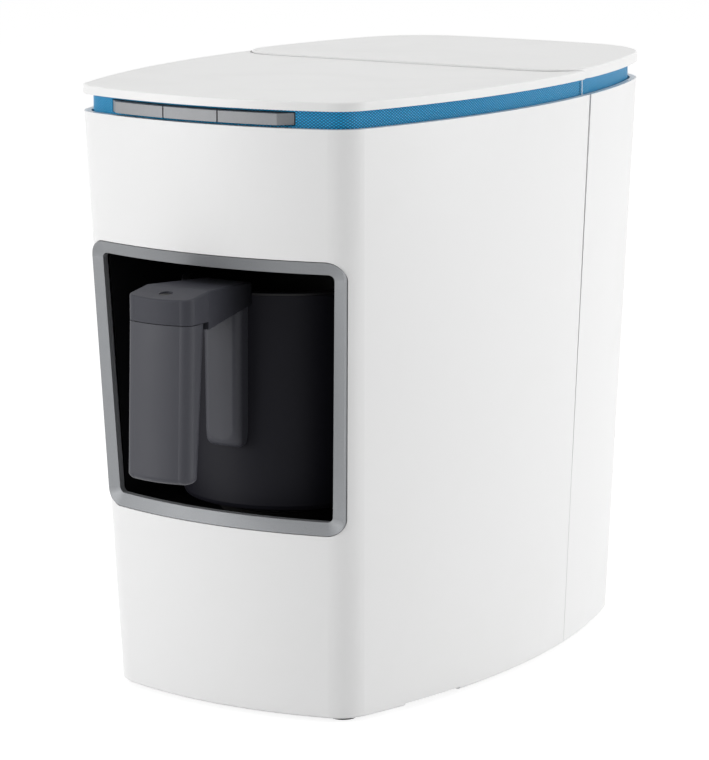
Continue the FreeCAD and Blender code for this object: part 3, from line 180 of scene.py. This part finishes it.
floor_material = bpy.data.materials.new("studio_floor")
floor_material.use_nodes = True
tree = floor_material.node_tree
tree.nodes.clear()
floor_out = add(tree, "ShaderNodeOutputMaterial")
bounce = add(tree, "ShaderNodeBsdfDiffuse", inputs={"Color": FLOOR_BOUNCE})
shade = add(tree, "ShaderNodeBsdfDiffuse", inputs={"Color": FLOOR_SHADE})
glow = add(tree, "ShaderNodeEmission", inputs={"Color": WHITE, "Strength": FLOOR_GLOW})
shaded_glow = add(tree, "ShaderNodeAddShader")
join(tree, shade.outputs[0], shaded_glow.inputs[0])
join(tree, glow.outputs[0], shaded_glow.inputs[1])
choose = add(tree, "ShaderNodeMixShader")
join(tree, seen_directly(tree), choose.inputs[0])
join(tree, bounce.outputs[0], choose.inputs[1])
join(tree, shaded_glow.outputs[0], choose.inputs[2])
join(tree, choose.outputs[0], floor_out.inputs["Surface"])
floor_mesh.materials.append(floor_material)


# %% Lamps
middle = (cad_low + cad_high) / 2


def soft_box(name, place, side, watts):
    """A square area lamp at a place, turned towards the middle of the object."""
    data = bpy.data.lights.new(name, "AREA")
    data.shape = "RECTANGLE"
    data.size = data.size_y = side
    data.energy = watts
    lamp = bpy.data.objects.new(name, data)
    lamp.location = place
    lamp.rotation_mode = "QUATERNION"
    lamp.rotation_quaternion = (middle - Vector(place)).to_track_quat("-Z", "Y")
    bpy.context.scene.collection.objects.link(lamp)


soft_box("left_box", place=(-1.15, -1.62, 0.443), side=1.1, watts=25.0)
soft_box("right_box", place=(1.90, 0.85, 0.44), side=1.3, watts=29.0)
soft_box("top_box", place=(0.0, 0.1, 1.9), side=1.3, watts=11.0)

# %% [markdown]
# ## Shared surface effects
#
# Each effect that several finishes use is one node group: a fine moulded grain, soft marks from
# handling, and fine lines of brushed metal. A group hands out normals and masks, and the shader
# stays in each material, where its plain values can be read.


# %% Group helpers
def new_group(name, inputs, outputs):
    """An empty node group. Returns its tree, the sockets of its input node and of its output node."""
    group = bpy.data.node_groups.new(name, "ShaderNodeTree")
    for socket, kind, value in inputs:
        made = group.interface.new_socket(socket, in_out="INPUT", socket_type=kind)
        made.default_value = value
    for socket, kind in outputs:
        group.interface.new_socket(socket, in_out="OUTPUT", socket_type=kind)
    start = group.nodes.new("NodeGroupInput")
    end = group.nodes.new("NodeGroupOutput")
    return group, start.outputs, end.inputs


def use_group(tree, group, **values):
    """Place a group in a material and set its inputs: grain_size sets the input Grain Size."""
    node = tree.nodes.new("ShaderNodeGroup")
    node.node_tree = group
    for name, value in values.items():
        node.inputs[name.replace("_", " ").title()].default_value = value
    return node


# %% Moulded grain
WAVES_PER_METRE = 28.0
WAVE_DEPTH = 0.000008


def make_grain():
    """The fine texture of a spark-eroded mould, with slow waves from the plastic's shrinking."""
    group, given, result = new_group(
        "moulded_grain",
        [("Grain Size", "NodeSocketFloat", 0.0006), ("Depth", "NodeSocketFloat", 0.00001)],
        [("Normal", "NodeSocketVector"), ("Mask", "NodeSocketFloat")],
    )
    place = add(group, "ShaderNodeTexCoord")
    per_metre = math_node(group, "DIVIDE", 1.0, given["Grain Size"])
    grain = add(group, "ShaderNodeTexNoise", inputs={"Detail": 2.0, "Roughness": 0.55})
    join(group, place.outputs["Object"], grain.inputs["Vector"])
    join(group, per_metre, grain.inputs["Scale"])
    waves = add(group, "ShaderNodeTexNoise", inputs={"Scale": WAVES_PER_METRE, "Detail": 1.0})
    join(group, place.outputs["Object"], waves.inputs["Vector"])
    fine = add(group, "ShaderNodeBump", inputs={"Strength": 1.0})
    join(group, grain.outputs["Fac"], fine.inputs["Height"])
    join(group, given["Depth"], fine.inputs["Distance"])
    slow = add(group, "ShaderNodeBump", inputs={"Strength": 1.0, "Distance": WAVE_DEPTH})
    join(group, waves.outputs["Fac"], slow.inputs["Height"])
    join(group, fine.outputs["Normal"], slow.inputs["Normal"])
    join(group, slow.outputs["Normal"], result["Normal"])
    join(group, grain.outputs["Fac"], result["Mask"])
    return group


grain_group = make_grain()


# %% Handling marks
MARKS_START, MARKS_FULL = 0.48, 0.75


def make_marks():
    """Faint smudges, as a mask that is mostly 0. They change the gloss more than the colour."""
    group, given, result = new_group(
        "handling_marks",
        [("Spread", "NodeSocketFloat", 22.0), ("Amount", "NodeSocketFloat", 0.5)],
        [("Mask", "NodeSocketFloat")],
    )
    place = add(group, "ShaderNodeTexCoord")
    smudge = add(
        group, "ShaderNodeTexNoise", inputs={"Detail": 4.0, "Roughness": 0.6, "Distortion": 0.6}
    )
    join(group, place.outputs["Object"], smudge.inputs["Vector"])
    join(group, given["Spread"], smudge.inputs["Scale"])
    level = add(
        group, "ShaderNodeMapRange", inputs={"From Min": MARKS_START, "From Max": MARKS_FULL}
    )
    join(group, smudge.outputs["Fac"], level.inputs["Value"])
    join(group, math_node(group, "MULTIPLY", level.outputs[0], given["Amount"]), result["Mask"])
    return group


marks_group = make_marks()


# %% Brushed lines
LINE_SCALE = (30.0, 3000.0, 3000.0)


def make_brushing():
    """Fine parallel lines along X, from noise stretched a hundredfold."""
    group, given, result = new_group(
        "brushed_lines",
        [("Depth", "NodeSocketFloat", 0.00001)],
        [("Normal", "NodeSocketVector"), ("Mask", "NodeSocketFloat")],
    )
    place = add(group, "ShaderNodeTexCoord")
    stretch = add(group, "ShaderNodeMapping", inputs={"Scale": LINE_SCALE})
    join(group, place.outputs["Object"], stretch.inputs["Vector"])
    lines = add(group, "ShaderNodeTexNoise", inputs={"Scale": 1.0, "Detail": 3.0})
    join(group, stretch.outputs[0], lines.inputs["Vector"])
    bump = add(group, "ShaderNodeBump", inputs={"Strength": 1.0})
    join(group, lines.outputs["Fac"], bump.inputs["Height"])
    join(group, given["Depth"], bump.inputs["Distance"])
    join(group, bump.outputs["Normal"], result["Normal"])
    join(group, lines.outputs["Fac"], result["Mask"])
    return group


brushing_group = make_brushing()


# %% [markdown]
# ## Band pattern
#
# The blue band is moulded with rows of small raised cells, offset from row to row like bricks, a
# little over a millimetre apart. Two waves across each other make such cells. The band runs along
# Y on the sides and along X at the front and the back, so the pattern takes its running direction
# from the surface's own normal.


# %% Band pattern group
SIDE_FACING = 0.707


def make_cells():
    """Raised cells in offset rows. Gives a height mask and a normal."""
    group, given, result = new_group(
        "band_cells",
        [("Cell Width", "NodeSocketFloat", 0.0016), ("Row Height", "NodeSocketFloat", 0.0012),
         ("Depth", "NodeSocketFloat", 0.0002)],
        [("Normal", "NodeSocketVector"), ("Mask", "NodeSocketFloat")],
    )
    place = add(group, "ShaderNodeTexCoord")
    axes = add(group, "ShaderNodeSeparateXYZ")
    join(group, place.outputs["Object"], axes.inputs[0])
    surface = add(group, "ShaderNodeNewGeometry")
    facing = add(group, "ShaderNodeSeparateXYZ")
    join(group, surface.outputs["True Normal"], facing.inputs[0])
    across = math_node(group, "ABSOLUTE", facing.outputs["X"])
    on_side = math_node(group, "GREATER_THAN", across, SIDE_FACING)
    run = add(group, "ShaderNodeMix", data_type="FLOAT")
    join(group, on_side, run.inputs["Factor"])
    join(group, axes.outputs["X"], run.inputs["A"])
    join(group, axes.outputs["Y"], run.inputs["B"])
    along = math_node(group, "DIVIDE", run.outputs["Result"], given["Cell Width"])
    up = math_node(group, "DIVIDE", axes.outputs["Z"], given["Row Height"])
    waves = []
    for operation in ("ADD", "SUBTRACT"):
        slanted = math_node(group, operation, along, up)
        waves.append(math_node(group, "SINE", math_node(group, "MULTIPLY", slanted, math.pi)))
    cell = math_node(group, "ABSOLUTE", math_node(group, "MULTIPLY", *waves))
    bump = add(group, "ShaderNodeBump", inputs={"Strength": 1.0})
    join(group, cell, bump.inputs["Height"])
    join(group, given["Depth"], bump.inputs["Distance"])
    join(group, bump.outputs["Normal"], result["Normal"])
    join(group, cell, result["Mask"])
    return group


cells_group = make_cells()


# %% [markdown]
# ## Finishes
#
# Every finish starts from the same recipe: a Principled shader with plain values for what is even
# all over, and the shared groups for what varies. The base colour and the roughness each move
# between two values by a mask.


# %% Finish helpers
PLASTIC_DULLING = 0.16
METAL_DULLING = 0.18
PAINT_DULLING = 0.12
MIX_FACTOR, MIX_FIRST, MIX_SECOND, MIX_RESULT = 0, 6, 7, 2


def new_finish(name, colour, roughness, specular=0.5, metallic=0.0):
    """A material with a Principled shader. Returns the material, its tree and the shader."""
    material = bpy.data.materials.new(name)
    material.use_nodes = True
    tree = material.node_tree
    tree.nodes.clear()
    out = add(tree, "ShaderNodeOutputMaterial")
    shader = add(tree, "ShaderNodeBsdfPrincipled")
    shader.inputs["Base Color"].default_value = (*colour, 1.0)
    shader.inputs["Roughness"].default_value = roughness
    shader.inputs["Specular IOR Level"].default_value = specular
    shader.inputs["Metallic"].default_value = metallic
    join(tree, shader.outputs[0], out.inputs["Surface"])
    material.diffuse_color = (*colour, 1.0)
    return material, tree, shader


def vary_colour(tree, shader, mask, low, high):
    """Blend the base colour between two shades by a mask."""
    blend = add(tree, "ShaderNodeMix", data_type="RGBA")
    blend.inputs[MIX_FIRST].default_value = (*low, 1.0)
    blend.inputs[MIX_SECOND].default_value = (*high, 1.0)
    join(tree, mask, blend.inputs[MIX_FACTOR])
    join(tree, blend.outputs[MIX_RESULT], shader.inputs["Base Color"])


def vary_roughness(tree, shader, mask, low, high):
    """Move the roughness between two values by a mask."""
    spread = add(tree, "ShaderNodeMapRange", inputs={"To Min": low, "To Max": high})
    join(tree, mask, spread.inputs["Value"])
    join(tree, spread.outputs[0], shader.inputs["Roughness"])


def plastic(name, low, high, roughness, grain_size, depth, specular=0.5):
    """Moulded plastic: grain in the normal, marks in the gloss, and a slight shift of shade."""
    material, tree, shader = new_finish(name, low, roughness, specular)
    grain = use_group(tree, grain_group, grain_size=grain_size, depth=depth)
    marks = use_group(tree, marks_group, spread=20.0, amount=0.6)
    join(tree, grain.outputs["Normal"], shader.inputs["Normal"])
    vary_colour(tree, shader, marks.outputs["Mask"], low, high)
    vary_roughness(tree, shader, marks.outputs["Mask"], roughness, roughness + PLASTIC_DULLING)
    return material


def metal(name, low, high, roughness, depth):
    """Brushed or drawn metal: lines in the normal and in the shade."""
    material, tree, shader = new_finish(name, low, roughness, metallic=1.0)
    lines = use_group(tree, brushing_group, depth=depth)
    join(tree, lines.outputs["Normal"], shader.inputs["Normal"])
    vary_colour(tree, shader, lines.outputs["Mask"], low, high)
    vary_roughness(tree, shader, lines.outputs["Mask"], roughness, roughness + METAL_DULLING)
    return material


# %% [markdown]
# ### White shell
#
# The housing is glossy white ABS, straight from a polished mould. The gloss is soft, and close up
# the reflection wavers a little because the wall shrinks over its ribs. The lids are seen at a low
# angle, where any gloss turns into a strong reflection of the white surroundings, so their finish
# is duller.

# %% White shell
white_shell = plastic(
    "white_shell", (0.80, 0.80, 0.80), (0.785, 0.785, 0.78),
    roughness=0.30, grain_size=0.0009, depth=0.000004, specular=0.35,
)
white_lid = plastic(
    "white_lid", (0.80, 0.80, 0.795), (0.785, 0.785, 0.78),
    roughness=0.38, grain_size=0.0009, depth=0.000005, specular=0.38,
)

# %% [markdown]
# ### Blue band
#
# The band is translucent-looking blue plastic. Its base colour is painted lighter on the tops of its
# cells, a painted highlight and sheen, and darker in the grooves between them, a painted shade, which
# is what makes the fine weave.

# %% Blue band
band_blue, tree, shader = new_finish(
    "band_blue", (0.0, 0.22, 0.50), roughness=0.34, specular=0.40
)
cells = use_group(tree, cells_group)
join(tree, cells.outputs["Normal"], shader.inputs["Normal"])
# Painted highlight and shade: the cell mask makes the base colour lighter on the cell tops and darker
# in the grooves.
vary_colour(
    tree, shader, cells.outputs["Mask"], low=(0.0, 0.07, 0.19), high=(0.004, 0.45, 0.82)
)
vary_roughness(tree, shader, cells.outputs["Mask"], low=0.55, high=0.30)

# %% [markdown]
# ### Satin grey
#
# The bezel and the buttons are plastic with a satin metallic paint: fine flakes in a grey base
# under a dull clear coat. The flakes are a small, sharp noise.


# %% Satin grey
def satin_paint(name, low, high, roughness, metallic):
    """Metallic paint with fine flakes."""
    material, tree, shader = new_finish(name, low, roughness, specular=0.3, metallic=metallic)
    shader.inputs["Coat Weight"].default_value = 0.15
    shader.inputs["Coat Roughness"].default_value = 0.3
    grain = use_group(tree, grain_group, grain_size=0.00035, depth=0.000006)
    marks = use_group(tree, marks_group, spread=60.0, amount=0.5)
    join(tree, grain.outputs["Normal"], shader.inputs["Normal"])
    vary_colour(tree, shader, grain.outputs["Mask"], low, high)
    vary_roughness(tree, shader, marks.outputs["Mask"], roughness, roughness + PAINT_DULLING)
    return material


satin_grey = satin_paint(
    "satin_grey", (0.22, 0.225, 0.235), (0.28, 0.285, 0.295), roughness=0.48, metallic=0.15
)
bezel_grey = satin_paint(
    "bezel_grey", (0.215, 0.223, 0.234), (0.29, 0.298, 0.309), roughness=0.50, metallic=0.20
)

# %% [markdown]
# ### Dark plastics
#
# The pot's jacket and handle are charcoal plastic with a fine eroded grain, so highlights are wide
# and soft. The bay liner and the parts under the lid are a plainer black. In the picture the bay
# is in deep shade, and these lamps reach into it, so the jacket and the liner have darker base
# colours than the grip.

# %% Dark plastics
pot_black = plastic(
    "pot_black", (0.042, 0.043, 0.053), (0.050, 0.051, 0.061),
    roughness=0.50, grain_size=0.0005, depth=0.000012, specular=0.30,
)
jacket_black = plastic(
    "jacket_black", (0.009, 0.009, 0.013), (0.013, 0.013, 0.017),
    roughness=0.52, grain_size=0.0005, depth=0.000012, specular=0.12,
)
outlet_grey = plastic(
    "outlet_grey", (0.030, 0.034, 0.042), (0.040, 0.044, 0.052),
    roughness=0.45, grain_size=0.0006, depth=0.00001, specular=0.2,
)
screw_black = plastic(
    "screw_black", (0.010, 0.010, 0.010), (0.020, 0.020, 0.020),
    roughness=0.40, grain_size=0.0003, depth=0.00001,
)
liner_black = plastic(
    "liner_black", (0.004, 0.004, 0.005), (0.007, 0.007, 0.008),
    roughness=0.6, grain_size=0.0007, depth=0.00002, specular=0.08,
)
rubber_black = plastic(
    "rubber_black", (0.012, 0.012, 0.012), (0.022, 0.021, 0.020),
    roughness=0.8, grain_size=0.0004, depth=0.00003, specular=0.15,
)
pump_grey = plastic(
    "pump_grey", (0.06, 0.06, 0.062), (0.08, 0.08, 0.082),
    roughness=0.5, grain_size=0.0006, depth=0.00002,
)

# %% [markdown]
# ### Handle arm
#
# The arm's cap is the same charcoal as the grip. In the picture the arm behind the cap lies in
# deep shade that these lamps don't give, so its base colour gets darker along Y, from the cap to
# the pot.

# %% Handle arm
CAP_END_Y = -0.118
ARM_DARK_Y = -0.100
ARM_DARK = (0.007, 0.007, 0.009, 1.0)
arm_black = plastic(
    "arm_black", (0.042, 0.043, 0.053), (0.050, 0.051, 0.061),
    roughness=0.50, grain_size=0.0005, depth=0.000012, specular=0.18,
)
tree = arm_black.node_tree
shader = tree.nodes["Principled BSDF"]
place = add(tree, "ShaderNodeTexCoord")
axes = add(tree, "ShaderNodeSeparateXYZ")
join(tree, place.outputs["Object"], axes.inputs[0])
along = add(tree, "ShaderNodeMapRange", inputs={"From Min": CAP_END_Y, "From Max": ARM_DARK_Y})
join(tree, axes.outputs["Y"], along.inputs["Value"])
darken = add(tree, "ShaderNodeMix", data_type="RGBA")
darken.inputs[MIX_SECOND].default_value = ARM_DARK
join(tree, shader.inputs["Base Color"].links[0].from_socket, darken.inputs[MIX_FIRST])
join(tree, along.outputs[0], darken.inputs[MIX_FACTOR])
join(tree, darken.outputs[MIX_RESULT], shader.inputs["Base Color"])

# %% [markdown]
# ### Metals
#
# The pot's cup is given a near-black base colour, so its rim stays dark, the hot plate is aluminium
# with a dark cooking coat, and springs, screws and brackets are plain steel.

# %% Metals
# The cup's slot is steel, but here it is given a near-black base colour.
cup_near_black = plastic(
    "cup_near_black", (0.010, 0.010, 0.011), (0.016, 0.016, 0.017),
    roughness=0.42, grain_size=0.0004, depth=0.00001, specular=0.2,
)
small_steel = metal(
    "small_steel", (0.46, 0.46, 0.47), (0.60, 0.60, 0.61),
    roughness=0.30, depth=0.000006,
)
heater_steel = metal(
    "heater_steel", (0.36, 0.35, 0.34), (0.48, 0.47, 0.46),
    roughness=0.38, depth=0.000010,
)
plate_coat = plastic(
    "plate_coat", (0.05, 0.05, 0.052), (0.075, 0.075, 0.078),
    roughness=0.38, grain_size=0.0004, depth=0.00002,
)

# %% [markdown]
# ### Clear and small plastics
#
# The tank is tinted and lets light through, but it is thick enough to look frosted from outside.
# Valve parts are natural white plastic, the tubes are silicone, and the boards have a green
# lacquer.

# %% Clear and small plastics
tank_smoke = plastic(
    "tank_smoke", (0.36, 0.42, 0.47), (0.42, 0.47, 0.52),
    roughness=0.36, grain_size=0.001, depth=0.000002,
)
tank_shader = tank_smoke.node_tree.nodes["Principled BSDF"]
tank_shader.inputs["Transmission Weight"].default_value = 0.15
natural_white = plastic(
    "natural_white", (0.72, 0.71, 0.68), (0.68, 0.66, 0.62),
    roughness=0.4, grain_size=0.0006, depth=0.00001,
)
silicone_clear = plastic(
    "silicone_clear", (0.60, 0.60, 0.57), (0.52, 0.52, 0.49),
    roughness=0.5, grain_size=0.0008, depth=0.00001,
)
sensor_red = plastic(
    "sensor_red", (0.06, 0.01, 0.016), (0.09, 0.015, 0.02),
    roughness=0.12, grain_size=0.001, depth=0.000002,
)
board_green = plastic(
    "board_green", (0.02, 0.12, 0.06), (0.035, 0.17, 0.08),
    roughness=0.34, grain_size=0.0008, depth=0.00002,
)

# %% [markdown]
# ## Give every part its finish
#
# The record names a slot for each part. One table turns slots into finishes, so no part is left
# out. A second table holds the few parts that look different from the rest of their slot.

# %% Assign the finishes
FINISHES = {
    "white_shell": white_shell,
    "blue_band": band_blue,
    "silver_satin": satin_grey,
    "black_moulding": liner_black,
    "pot_black": pot_black,
    "pot_steel": cup_near_black,
    "hot_plate": plate_coat,
    "heater_steel": heater_steel,
    "steel_small": small_steel,
    "rubber": rubber_black,
    "sensor_window": sensor_red,
    "tank_plastic": tank_smoke,
    "valve_plastic": natural_white,
    "silicone": silicone_clear,
    "board": board_green,
    "pump_case": pump_grey,
}

OWN_FINISH = {
    "front_lid": white_lid,
    "tank_lid": white_lid,
    "handle_arm": arm_black,
    "pot_jacket": jacket_black,
    "water_outlet": outlet_grey,
    "handle_screw": screw_black,
}

slots = {part["node"]: part["material_slot"] for part in frame["record"]["subparts"]}
for name, thing in nodes.items():
    thing.data.materials.clear()
    thing.data.materials.append(OWN_FINISH.get(name, FINISHES[slots[name]]))
print("parts given a finish:", len(nodes))

# %% [markdown]
# ## Shapes drawn closer to the picture
#
# The bezel's side bars are narrower in the picture than in the CAD part, the grip ends a little
# higher, the column on the pot narrows a little towards a squarer foot, and the seam between the
# lids is wider. Each is made here from a copy of the CAD mesh, in which only those places move.


# %% Reshape a copy of a part
def world_points(node):
    """The points of a CAD part in world space."""
    return [nodes[node].matrix_world @ vertex.co for vertex in nodes[node].data.vertices]


def clamp(value):
    """Limit a value to 0 to 1."""
    return max(0.0, min(1.0, value))


def reshaped(node, name, body, move, finish):
    """A visible piece that stands for a CAD part: a copy of its mesh, moved point by point."""
    source = nodes[node]
    mesh = source.data.copy()
    mesh.name = name
    to_world = source.matrix_world.copy()
    to_local = to_world.inverted()
    for vertex in mesh.vertices:
        vertex.co = to_local @ move(to_world @ vertex.co)
    mesh.materials.clear()
    mesh.materials.append(finish)
    piece = bpy.data.objects.new(name, mesh)
    bpy.context.scene.collection.objects.link(piece)
    piece.matrix_world = to_world
    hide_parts(node)
    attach(piece, body)


# %% Bezel with slim side bars
BEZEL_LOW, BEZEL_HIGH = 0.0824, 0.1982
BEZEL_HALF_LOW, BEZEL_HALF_HIGH = 0.0600, 0.0639
BAR_WIDTH = 0.00875
RAIL_WIDTH = 0.0053
SLIMMER = 0.0626
FRONT_BOW_RADIUS = 0.197


def slim_bar(point):
    """Move the inner edges of the side bars outwards along the bowed front. The outer edge stays."""
    height = (point.z - BEZEL_LOW) / (BEZEL_HIGH - BEZEL_LOW)
    outer = BEZEL_HALF_LOW + (BEZEL_HALF_HIGH - BEZEL_HALF_LOW) * clamp(height)
    inward = clamp((outer - abs(point.x)) / BAR_WIDTH)
    off_rails = clamp(min(BEZEL_HIGH - point.z, point.z - BEZEL_LOW) / RAIL_WIDTH)
    x = point.x * (1 + SLIMMER * inward * off_rails)
    y = point.y + (x * x - point.x * point.x) / (2 * FRONT_BOW_RADIUS)
    return Vector((x, y, point.z))


reshaped("bezel", "bezel_slim", "housing", slim_bar, bezel_grey)

# %% Grip with its lower end raised
GRIP_END = 0.1054
GRIP_END_REACH = 0.012
GRIP_RAISE = 0.0024


def raise_end(point):
    """Lift the grip's lower end and leave the rest."""
    reach = clamp((GRIP_END + GRIP_END_REACH - point.z) / GRIP_END_REACH)
    return Vector((point.x, point.y, point.z + GRIP_RAISE * reach))


reshaped("handle_grip", "grip_short", "pot", raise_end, pot_black)

# %% Column with a squarer foot
mount_points = world_points("handle_mount")
MOUNT_LOW = min(point.z for point in mount_points)
MOUNT_HIGH = max(point.z for point in mount_points)
MOUNT_HALF = max(abs(point.x) for point in mount_points)
FOOT_CORNER = 0.003
FOOT_NARROWER = 0.10


def square_foot(point):
    """Square off the round lower end, with small corners, and narrow the column downwards."""
    up = point.z - MOUNT_LOW
    scale = 1 - FOOT_NARROWER * clamp((MOUNT_HIGH - point.z) / (MOUNT_HIGH - MOUNT_LOW))
    if 0 < up < MOUNT_HALF:
        round_half = math.sqrt(MOUNT_HALF ** 2 - (MOUNT_HALF - up) ** 2)
        corner = math.sqrt(FOOT_CORNER ** 2 - max(FOOT_CORNER - up, 0.0) ** 2)
        scale *= (MOUNT_HALF - FOOT_CORNER + corner) / round_half
    return Vector((point.x * scale, point.y, point.z))


reshaped("handle_mount", "column_square", "pot", square_foot, pot_black)

# %% Rear lid with a wider seam in front of it
LID_FRONT = min(point.y for point in world_points("tank_lid"))
SEAM_WIDER = 0.0009
SEAM_REACH = 0.020


def widen_seam(point):
    """Draw the front edge of the rear lid back a little."""
    reach = clamp((LID_FRONT + SEAM_REACH - point.y) / SEAM_REACH)
    return Vector((point.x, point.y + SEAM_WIDER * reach, point.z))


reshaped("tank_lid", "rear_lid_shown", "tank_lid", widen_seam, white_lid)

# %% View settings
bpy.context.scene.view_settings.view_transform = "Standard"
